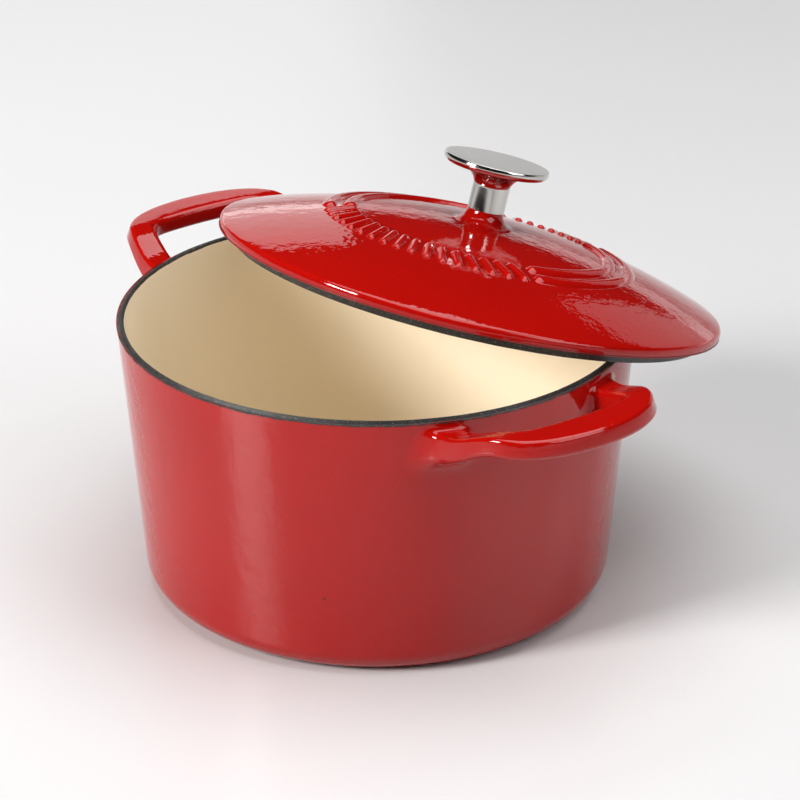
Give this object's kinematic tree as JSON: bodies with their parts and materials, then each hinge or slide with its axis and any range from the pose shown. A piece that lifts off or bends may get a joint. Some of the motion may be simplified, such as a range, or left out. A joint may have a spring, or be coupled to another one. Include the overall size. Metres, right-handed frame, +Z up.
{
  "type": "cast iron dutch oven",
  "caption": "Round enamelled cast iron dutch oven with loop handles and a domed lid with a steel knob, the lid resting ajar on the rim.",
  "frame": {"origin": "centre of the flat foot, on the surface the pot stands on", "axes": "+Z up; +X through the two loop handles; +Y towards the side where the tilted lid hangs over the rim"},
  "size_m": [0.3474, 0.3059, 0.2026],
  "materials": {
    "raw_iron": "matte, as cast",
    "red_enamel": "gloss vitreous enamel",
    "cream_enamel": "gloss vitreous enamel",
    "matte_black_enamel": "matte black enamel",
    "brushed_steel": "brushed top, polished edge and stem",
    "screw_steel": "plain stainless",
    "seal_fibre": "matte"
  },
  "bodies": {
    "pot": {"pot_casting": "raw_iron", "pot_exterior_enamel": "red_enamel", "pot_interior_enamel": "cream_enamel", "pot_rim_coat": "matte_black_enamel", "pot_handle_right": "red_enamel", "pot_handle_left": "red_enamel"},
    "lid": {"lid_casting": "raw_iron", "lid_exterior_enamel": "red_enamel", "lid_interior_enamel": "cream_enamel", "lid_rim_coat": "matte_black_enamel", "lid_rib_outer": "red_enamel", "lid_rib_inner": "red_enamel", "lid_beads_front": "red_enamel", "lid_beads_back": "red_enamel", "knob": "brushed_steel", "knob_screw": "screw_steel", "knob_screw_washer": "screw_steel", "knob_seal": "seal_fibre"}
  },
  "joints": [
    {"name": "lid_lift", "type": "slide", "parent": "pot", "child": "lid", "axis": [0, 0, 1], "range_m": [0, 0.2]}
  ]
}
